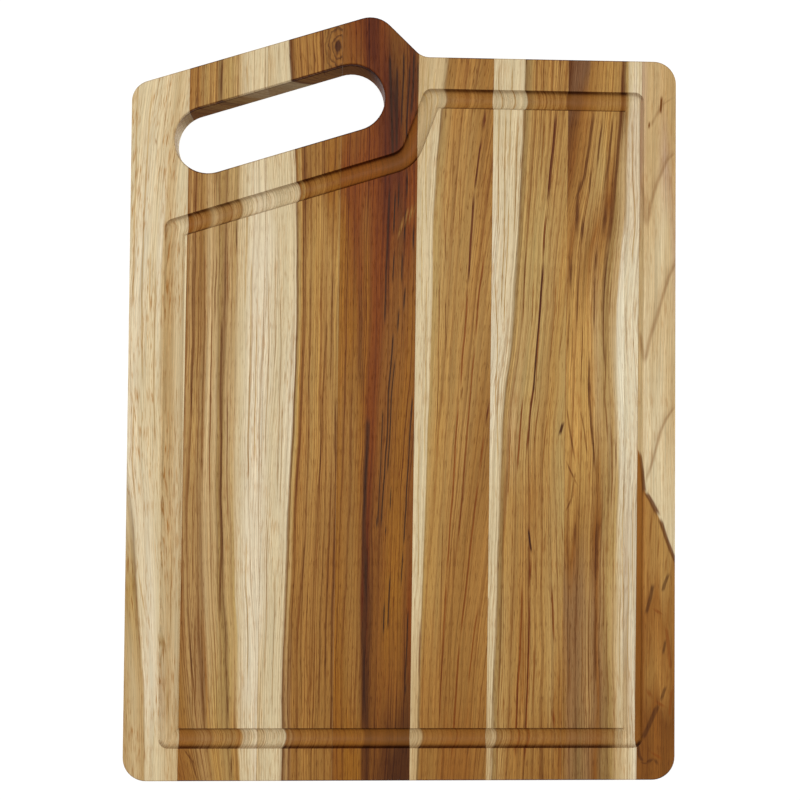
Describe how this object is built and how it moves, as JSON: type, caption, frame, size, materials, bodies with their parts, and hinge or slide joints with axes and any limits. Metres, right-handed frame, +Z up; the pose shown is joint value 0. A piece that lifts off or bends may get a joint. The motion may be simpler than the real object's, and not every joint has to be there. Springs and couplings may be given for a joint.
{
  "type": "cutting board",
  "caption": "Rectangular hardwood cutting board of edge-glued staves with a juice groove and a slanted handle with a long hand slot.",
  "frame": {"origin": "on the underside, in the middle of the overall bounding box", "axes": "+Z up from the underside to the cutting side, +Y along the staves towards the handle, +X across them to the right"},
  "size_m": [0.356, 0.4954, 0.025],
  "materials": {
    "heartwood": "oiled satin",
    "mixed_wood": "oiled satin",
    "sapwood": "oiled satin",
    "glue": "cured wood glue"
  },
  "bodies": {
    "root": {"stave_1": "sapwood", "stave_2_body": "mixed_wood", "stave_2_rail": "mixed_wood", "stave_3_body": "mixed_wood", "stave_3_rail": "mixed_wood", "stave_4": "heartwood", "stave_5": "heartwood", "stave_6": "heartwood", "stave_7": "heartwood", "stave_8": "mixed_wood", "glue_line_1_2_body": "glue", "glue_line_1_2_rail": "glue", "glue_line_2_3_body": "glue", "glue_line_2_3_rail": "glue", "glue_line_3_4_body": "glue", "glue_line_3_4_rail": "glue", "glue_line_4_5": "glue", "glue_line_5_6": "glue", "glue_line_6_7": "glue", "glue_line_7_8": "glue"}
  },
  "joints": []
}
